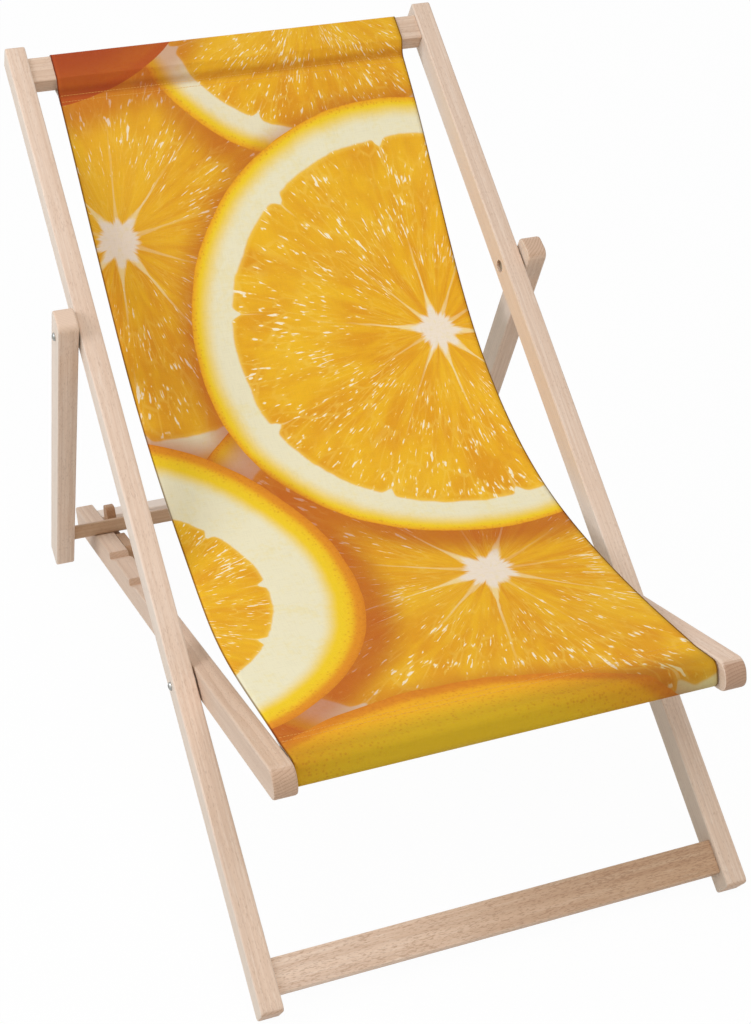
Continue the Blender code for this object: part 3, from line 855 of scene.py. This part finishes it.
@dataclass
class Woodwork:
    """Every beech member of the three frames, the dowels and the catch."""

    finish: Beech = Beech()
    boards: tuple[Board, ...] = (
        Board("main_leg_left", Lie.MAIN_ALONG, 1, 0.0, (0.030, -0.060)),
        Board("main_leg_right", Lie.MAIN_ALONG, 2, 0.05, (-0.050, -0.045)),
        Board("top_bar", Lie.MAIN_ACROSS, 3, -0.25, (0.045, -0.050)),
        # after the pith, the foot board is given painted shade along its length, then a figure
        Board("foot_board", Lie.MAIN_ACROSS, 4, 0.0, (0.020, -0.075), 0.9, 1.0),
        Board("seat_rail_left", Lie.SEAT_ALONG, 5, -0.35, (-0.018, 0.060)),
        Board("seat_rail_right", Lie.SEAT_ALONG, 6, 0.0, (0.012, -0.048), end_tone=0.75),
        Board("seat_bar", Lie.SEAT_ACROSS, 7, 0.0, (0.050, 0.040)),
        Board("rear_crossbar", Lie.SEAT_ACROSS, 8, 0.8, (0.060, -0.030)),
        Board("prop_leg_left", Lie.PROP_ALONG, 9, 0.0, (0.040, 0.052), end_tone=-0.65),
        Board("prop_leg_right", Lie.PROP_ALONG, 10, -0.06, (-0.045, 0.040)),
        Board("prop_bar", Lie.PROP_ACROSS, 11, -0.9, (0.050, 0.035)),
        # after the pith, the catch is given painted shade along its length
        Board("safety_catch", Lie.SEAT_ALONG, 12, -1.0, (0.030, 0.050), 1.0),
    )
    dowels: tuple[tuple[str, Lie], ...] = (
        ("dowel_top_bar", Lie.MAIN_ACROSS), ("dowel_foot_board_lower", Lie.MAIN_ACROSS),
        ("dowel_foot_board_upper", Lie.MAIN_ACROSS), ("dowel_seat_bar", Lie.SEAT_ACROSS),
        ("dowel_rear_crossbar", Lie.SEAT_ACROSS), ("dowel_prop_bar", Lie.PROP_ACROSS))
    dowel_seed: int = 20

    def every(self) -> Iterable[Board]:
        """Names all members.

        Yields:
            The boards, then the dowels.
        """
        yield from self.boards
        pairs = [(stem + "_" + side, lie) for stem, lie in self.dowels
                 for side in ("left", "right")]
        for number, (node, lie) in enumerate(pairs):
            yield Board(node, lie, self.dowel_seed + number, tone=0.2, pith=(0.014, 0.011))

    def dress(self, nodes: dict[str, Object]) -> None:
        """Gives each member its own cut of beech.

        Args:
            nodes: the CAD nodes by name.
        """
        for board in self.every():
            cover(nodes[board.node], self.finish.material(board))
            log.info("%s: beech, cut %d", board.node, board.seed)


@dataclass
class Fasteners:
    """The pivot bolts with their nuts and washers, and the catch's screw and washer."""

    finish: PlatedSteel = PlatedSteel()
    stems: tuple[str, ...] = ("main_bolt", "main_nut", "main_washer", "prop_bolt", "prop_nut",
                              "prop_washer")
    singles: tuple[str, ...] = ("catch_screw", "catch_washer")

    def dress(self, nodes: dict[str, Object]) -> None:
        """Plates every fastener.

        Args:
            nodes: the CAD nodes by name.
        """
        plating = self.finish.material()
        names = [stem + "_" + side for stem in self.stems for side in ("left", "right")]
        for name in [*names, *self.singles]:
            cover(nodes[name], plating)
            log.info("%s: zinc plated", name)


@dataclass(frozen=True)
class Bar:
    """A bar inside a hem, measured along and above its frame, and the seam beside it.

    The cloth goes round some of its rounded corners. Each is named by which end of the
    length and which end of the rise it has, and each face between two corners by how many
    quarter turns it faces on from the frame's own direction.
    """

    frame: SideFrame
    length: Pair
    rise: Pair
    rounding: float
    corners: tuple[tuple[int, int], ...]
    faces: tuple[int, ...]
    arc_steps: tuple[int, ...]
    seam: Pair
    seam_turn: float

    @property
    def sewn(self) -> Array:
        """Where the cloth is sewn to itself."""
        return self.frame.at(*self.seam)

    def wrap(self, lift: float, before: Array, after: Array) -> list[Array]:
        """Lays the cloth round the corners.

        Args:
            lift: how far the cloth's middle lies off the wood.
            before: the point that it comes from.
            after: the point that it goes on to.

        Returns:
            One arc for each corner.
        """
        inwards = (self.rounding, -self.rounding)
        centres = [self.frame.at(self.length[i] + inwards[i], self.rise[j] + inwards[j])
                   for i, j in self.corners]
        bend = self.rounding + lift
        turns = [touch_angle(centres[0], bend, before, 1), *map(self.frame.normal, self.faces)]
        last = touch_angle(centres[-1], bend, after, -1)
        turns.append(last if last > turns[-1] else last + 2 * math.pi)
        return [arc(centre, bend, start, end, steps)
                for centre, start, end, steps in zip(centres, turns, turns[1:], self.arc_steps)]


@dataclass
class Sling:
    """Canvas sleeved over the top bar and the seat bar, slack between the two seams.

    The cloth is one strip. From the hem under the back's seam it climbs behind the top bar,
    comes down its front, is sewn to itself, hangs in the slack run, is sewn again behind
    the seat bar, goes over and under that bar and ends in a hem under the run.
    """

    half_width: float = 0.219
    thickness: float = 0.0011
    clearance: float = 0.00035
    top: Bar = Bar(
        MAIN, (0.7562, 0.7905), (-0.0098, 0.0127), 0.002, corners=((0, 0), (1, 0), (1, 1), (0, 1)),
        faces=(3, 4, 5), arc_steps=(6, 6, 6, 6), seam=(0.7434, -0.00155), seam_turn=0.005)
    seat: Bar = Bar(
        SEAT, (-0.277, -0.255), (-0.0122, 0.0143), 0.008, corners=((0, 1), (0, 0), (1, 0)),
        faces=(2, 3), arc_steps=(9, 9, 7), seam=(-0.2360, 0.0165), seam_turn=0.004)
    leave_slope: float = 40.0
    leave_reach: float = 0.2756
    arrive_slope: float = 9.0
    arrive_reach: float = 0.2263
    belly: Pair = (0.3291, -0.0010)
    run_steps: int = 180
    columns: int = 72
    edge_draw: float = 0.0045
    edge_lean: float = 0.0068
    lean_at: float = 0.80
    lean_spread: float = 0.13
    cross_sag: float = 0.004
    calm: float = 0.03
    pucker_reach: float = 0.045
    hem: float = 0.012
    hem_points: int = 4
    hem_gap: float = 0.0003
    hem_turn: float = 0.003
    stitch: float = 0.0030
    stitch_gap: float = 0.0007
    stitch_rows: Pair = (0.0015, 0.0095)
    stitch_margin: float = 0.004
    stitch_sides: int = 6
    thread: float = 0.00024
    thread_proud: float = 0.35
    finish: PrintedCanvas = PrintedCanvas()
    sewing: Thread = Thread()

    @cached_property
    def strip(self) -> tuple[Array, Array, float]:
        """Works out the cloth's middle line in the side plane.

        Tangents join the rounded corners of each bar to its seam, and a quartic Bezier
        hangs between the seams. Each hem lies a thickness and a small gap under the run,
        and the cloth turns at each seam in a short parabola.

        Returns:
            The points, how far along the cloth from the top seam each one lies, and how
            far it is from seam to seam.
        """
        lift = self.clearance + self.thickness / 2
        apart = self.thickness + self.hem_gap
        top_seam, seat_seam = self.top.sewn, self.seat.sewn
        leave, arrive = ray(math.radians(self.leave_slope)), ray(math.radians(-self.arrive_slope))
        run = bezier(np.array([top_seam, top_seam - leave * self.leave_reach,
                               np.array(MAIN.pivot) + self.belly,
                               seat_seam + arrive * self.arrive_reach, seat_seam]), self.run_steps)
        hem_top = self.hem_line(run, apart)
        hem_seat = self.hem_line(run[::-1], apart, below=-1)[::-1]

        over_top = self.top.wrap(lift, hem_top[-1], top_seam)
        under_seat = self.seat.wrap(lift, seat_seam, hem_seat[0])
        top_fold = fold(over_top[-1][-1], top_seam, run[1], self.top.seam_turn)
        seat_fold = fold(run[-2], seat_seam, under_seat[0][0], self.seat.seam_turn)
        hem_fold = fold(under_seat[-1][-1], hem_seat[0], hem_seat[1], self.hem_turn)
        parts = [hem_top[:-1], fold(hem_top[-2], hem_top[-1], over_top[0][0], self.hem_turn)]

        def go_on(*pieces: Array) -> None:
            """Goes straight on to each piece and along it."""
            for piece in pieces:
                parts.extend([straight(parts[-1][-1], piece[0], TURN_STEPS), piece])

        go_on(*over_top, top_fold)
        first = sum(map(len, parts)) - len(top_fold) // 2 - 1
        parts += [run[1:-1], seat_fold]
        last = sum(map(len, parts)) - len(seat_fold) // 2 - 1
        go_on(*under_seat, hem_fold)
        parts.append(hem_seat[1:])
        points = np.concatenate(parts)
        twice = np.hypot(*np.diff(points, axis=0).T) <= SAME_PLACE
        points = points[np.concatenate([[True], ~twice])]
        travelled = travel(points)
        start, end = (travelled[k - int(twice[:k].sum())] for k in (first, last))
        return points, travelled - start, float(end - start)

    def hem_line(self, run: Array, apart: float, below: int = 1) -> Array:
        """The folded end of the cloth: the run's first stretch, moved under the run.

        Args:
            run: the run, from the seam on.
            apart: how far under the run the hem lies.
            below: one where the heading, turned a quarter from rearward to upward, points
                under the run, else minus one.

        Returns:
            The hem's points, from its free end to the seam.
        """
        travelled = travel(run)
        heading = np.diff(run, axis=0)
        heading = heading / np.hypot(*heading.T)[:, None]
        reach = np.linspace(0.0, self.hem, self.hem_points)
        aim = place_on(heading, travelled[:-1], reach)
        under = np.stack([-aim[:, 1], aim[:, 0]], axis=-1) * below
        return (place_on(run, travelled, reach) + under * apart)[::-1]

    def surface(self, across: Array, down: Array) -> tuple[Array, Array]:
        """Places on the cloth.

        The width narrows and the middle sags by sine squared of the way between the seams,
        and a bell curve of that way lets the left edge hang out a little over the seat.
        Low sine waves across and along give the slack a few soft undulations, and short
        ones fade away from each seam.

        Args:
            across: metres from the middle, before the edges draw in.
            down: metres along the strip, zero at the top seam.

        Returns:
            The points and the upward normals.
        """
        points, travelled, length = self.strip
        share = np.clip(down / length, 0.0, 1.0)
        slack = np.sin(math.pi * share) ** 2
        side = place_on(points, travelled, down)
        before, after = (place_on(points, travelled, down + step) for step in (-PROBE, PROBE))
        ahead = after - before
        ahead = ahead / np.hypot(ahead[..., 0], ahead[..., 1])[..., None]
        wide = across / self.half_width
        sag = self.cross_sag * slack * (1 - wide ** 2)
        calm = np.clip(down / self.calm, 0, 1) * np.clip((length - down) / self.calm, 0, 1)
        near_top, near_seat = (np.exp(-np.clip(away, 0, None) / self.pucker_reach) * calm
                               for away in (down, length - down))
        ripple = (0.0012 * np.sin(9.0 * down + 2.1) * np.sin(11.0 * across + 5.0 * down + 0.4)
                  + 0.0007 * np.sin(23.0 * down + 14.0 * across)) * slack
        pucker = 0.0011 * (near_top * (np.sin(74 * across + 0.8) + 0.6 * np.sin(131 * across + 2.2))
                           + near_seat * (np.sin(82 * across + 1.9) + 0.5 * np.sin(143 * across)))
        bell = np.exp(-((share - self.lean_at) / self.lean_spread) ** 2)
        lean = self.edge_lean * bell * (1 - wide) / 2
        x = wide * (self.half_width - self.edge_draw * slack) - lean
        lower = sag - ripple - pucker
        place = np.stack([x, side[..., 0], side[..., 1] - lower], axis=-1)
        normal = np.stack([np.zeros_like(x), ahead[..., 1], -ahead[..., 0]], axis=-1)
        return place, normal

    def cloth(self) -> Object:
        """Builds the cloth as a closed shell: an upper grid, a lower grid and four rims.

        Returns:
            The sling.
        """
        _, down, _ = self.strip
        across = np.linspace(-self.half_width, self.half_width, self.columns + 1)
        v, u = np.meshgrid(down, across, indexing="ij")
        place, _ = self.surface(u, v)
        normal = np.cross(*np.gradient(place, axis=(0, 1)))
        normal = normal / np.linalg.norm(normal, axis=-1, keepdims=True)
        half = self.thickness / 2
        shell = np.stack([place + normal * half, place - normal * half]).reshape(-1, 3)
        count = u.size
        number = np.arange(count).reshape(u.shape)
        loop = np.concatenate([number[0, :-1], number[:-1, -1],
                               number[-1, :0:-1], number[:0:-1, 0]])
        after = np.roll(loop, -1)
        rim = np.stack([loop, after, after + count, loop + count], axis=-1)
        cells = np.stack([number[:-1, :-1], number[:-1, 1:], number[1:, 1:], number[1:, :-1]],
                         axis=-1).reshape(-1, 4)
        quads = np.concatenate([cells[:, ::-1], cells + count, rim])
        smooth = np.arange(len(quads)) < 2 * len(cells)
        cloth = make_mesh("canvas_sling", shell, quads, smooth, self.finish.material())
        facing = np.repeat([1.0, -1.0], count)
        where = np.stack([np.tile(u.ravel(), 2), np.tile(v.ravel(), 2), facing], axis=-1)
        attribute = cloth.data.attributes.new("cloth_place", "FLOAT_VECTOR", "POINT")
        attribute.data.foreach_set("vector", where.astype(np.float32).ravel())
        log.info("canvas_sling: %.3f x %.3f m", 2 * self.half_width, float(down[-1] - down[0]))
        return cloth

    def stitches(self) -> Object:
        """Sews two rows at each seam.

        One stitch is a short rod with rounded ends: rings of points whose radius follows
        the root of one minus the square of the way along. It is copied along each row by
        adding the row's places to it, on the upper face and under the hem.

        Returns:
            The stitches as one piece.
        """
        _, _, length = self.strip
        pitch = self.stitch + self.stitch_gap
        places = np.arange(self.stitch_margin - self.half_width,
                           self.half_width - self.stitch_margin, pitch)
        downs = [*self.stitch_rows, *(length - row for row in self.stitch_rows)]
        along = np.array([-1.0, -0.72, 0.72, 1.0])
        blunt, taper, tip = 0.62, 0.144, 0.02
        wide = np.sqrt(np.maximum(1 - (np.abs(along) - blunt).clip(0) ** 2 / taper, tip))
        sides = self.stitch_sides
        each = sides * len(along)
        angle = np.linspace(0, 2 * math.pi, sides + 1)[:-1, None]
        ring = np.arange(sides)
        after = np.roll(ring, -1)
        band = np.stack([ring, after, after + sides, ring + sides], axis=-1)
        body = [band + first for first in range(0, each - sides, sides)]
        near_cap = np.array([[3, 2, 1, 0], [5, 4, 3, 0]])
        template = np.concatenate([*body, near_cap, near_cap[:, ::-1] + each - sides])
        radius = (wide * self.thread)[:, None, None]
        proud = self.thread * self.thread_proud
        under_hem = -(self.thickness * 1.5 + self.hem_gap)
        u = places[:, None] + along[None, :] * self.stitch / 2
        shells = []
        for off in (self.thickness / 2 + proud, under_hem - proud):
            for down in downs:
                place, normal = self.surface(u, np.full_like(u, down))
                ahead = np.cross(normal, (1.0, 0.0, 0.0))
                spread = (np.cos(angle) * normal[:, :, None, :]
                          + np.sin(angle) * ahead[:, :, None, :])
                middle = (place + normal * off)[:, :, None, :]
                shells.append((middle + radius * spread).reshape(-1, 3))
        points = np.concatenate(shells)
        firsts = np.arange(0, len(points), each)[:, None, None]
        quads = (template + firsts).reshape(-1, 4)
        sewn = make_mesh("sling_stitches", points, quads, np.ones(len(quads), bool),
                         self.sewing.material())
        log.info("sling_stitches: %d stitches", len(firsts))
        return sewn

    def build(self) -> None:
        """Builds the cloth and its sewing, which lie between the two frames, fixes their places and
        hides the CAD sling.
        """
        cloth, sewn = self.cloth(), self.stitches()
        start, end = (0.0, *self.top.sewn), (0.0, *self.seat.sewn)
        for piece in (cloth, sewn):
            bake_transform(piece)
        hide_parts("sling")
        _, down, _ = self.strip


# Studio


@dataclass(frozen=True)
class Lamp:
    """A soft square lamp, which faces the chair's middle at a height of its own."""

    name: str
    place: Point
    aim: float
    size: float
    watts: float
    colour: str

    def hang(self) -> None:
        """Hangs the lamp."""
        data = bpy.data.lights.new(self.name, "AREA")
        data.shape = "SQUARE"
        data.size = self.size
        data.energy = self.watts
        data.color = linear(self.colour)[:3]
        lamp = bpy.data.objects.new(self.name, data)
        lamp.location = self.place
        towards = Vector((0.0, 0.0, self.aim)) - Vector(self.place)
        lamp.rotation_euler = towards.to_track_quat("-Z", "Y").to_euler()
        bpy.context.scene.collection.objects.link(lamp)


@dataclass
class Studio:
    """White floor and surroundings, soft lamps and the camera."""

    floor_half: float = 14.0
    floor_drop: float = 0.0004
    floor_tone: str = "#e9e8e5"
    whiteness: float = 0.97
    sky_tone: str = "#eef3f7"
    sky_light: float = 0.50
    camera_place: Point = (-0.5896, -1.64262, 1.4026)
    azimuth: float = -20.7378
    elevation: float = 34.2653
    roll: float = 0.5973
    lens: float = 63.54
    shift: Pair = (-0.00365, 0.0262)
    lamps: tuple[Lamp, ...] = (
        Lamp("top_lamp", (-0.3, -1.5, 2.9), 0.3, 1.6, 32.0, "#fffcf8"),
        Lamp("left_lamp", (-2.3, 0.1, 2.0), 0.3, 1.2, 35.0, "#f2f5ff"),
        Lamp("front_lamp", (0.5, -2.8, 1.1), 0.35, 2.0, 6.0, "#fbfbff"),
        Lamp("back_lamp", (1.0, 3.0, 1.5), 0.35, 2.0, 12.0, "#fbfbff"),
    )

    def show(self, net: Net, lights: Node, seen: Node, share: float,
             output: str) -> None:
        """Ends in one shader as a light and another to look at.

        Args:
            net: the tree.
            lights: what the scene is lit by, and what a shadow falls on.
            seen: what the camera sees, straight, mirrored or through glass.
            share: how much of it the camera sees.
            output: the type of the last node.
        """
        paths = net.node("ShaderNodeLightPath")
        camera, glossy, glass = (net.value(paths, f"Is {kind} Ray")
                                 for kind in ("Camera", "Glossy", "Transmission"))
        both = net.node("ShaderNodeMixShader", {}, {
            0: camera.most(glossy).most(glass) * share, 1: lights.outputs[0], 2: seen.outputs[0]})
        net.node(output, {}, {0: both.outputs[0]})

    def floor(self) -> None:
        """Lays a wide floor that reads white to the camera and keeps a faint shadow."""
        net = Net("studio_floor")
        matt = net.node("ShaderNodeBsdfDiffuse", {}, {"Color": linear(self.floor_tone)})
        glow = net.node("ShaderNodeEmission", {}, {"Color": (1, 1, 1, 1), "Strength": 1.0})
        self.show(net, matt, glow, self.whiteness, "ShaderNodeOutputMaterial")
        signs = np.array([[-1, -1], [1, -1], [1, 1], [-1, 1]])
        points = np.insert(signs * self.floor_half, 2, -self.floor_drop, axis=1)
        floor = make_mesh("studio_floor", points, np.array([[0, 1, 2, 3]]), np.zeros(1, bool),
                          net.owner)

    def sky(self) -> None:
        """Makes the surroundings white to look at and soft grey as a light."""
        net = Net("studio_sky", bpy.data.worlds)
        light = net.node("ShaderNodeBackground", {}, {
            "Color": linear(self.sky_tone), "Strength": self.sky_light})
        white = net.node("ShaderNodeBackground", {}, {"Color": (1, 1, 1, 1)})
        self.show(net, light, white, 1.0, "ShaderNodeOutputWorld")
        bpy.context.scene.world = net.owner

    def camera(self) -> None:
        """Sets the camera at the photograph's place and angle: heading, then tilt, then roll."""
        az, el, roll = (math.radians(a) for a in (self.azimuth, self.elevation, self.roll))
        turn = (Matrix.Rotation(az, 4, "Z") @ Matrix.Rotation(math.pi / 2 - el, 4, "X")
                @ Matrix.Rotation(roll, 4, "Z"))
        data = bpy.data.cameras.new("studio_camera")
        data.lens = self.lens
        data.shift_x, data.shift_y = self.shift
        data.dof.use_dof = False
        camera = bpy.data.objects.new("studio_camera", data)
        camera.matrix_world = Matrix.Translation(self.camera_place) @ turn
        bpy.context.scene.collection.objects.link(camera)
        bpy.context.scene.camera = camera

    def build(self) -> None:
        """Sets up the whole studio."""
        bpy.context.scene.view_settings.view_transform = "Standard"
        self.floor()
        self.sky()
        for lamp in self.lamps:
            lamp.hang()
        self.camera()


def main() -> None:
    """Loads the frame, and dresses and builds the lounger."""
    logging.basicConfig(level=logging.INFO, format="%(message)s")
    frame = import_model()
    Woodwork().dress(frame["nodes"])
    Fasteners().dress(frame["nodes"])
    Sling().build()
    Studio().build()


if __name__ == "__main__":
    main()
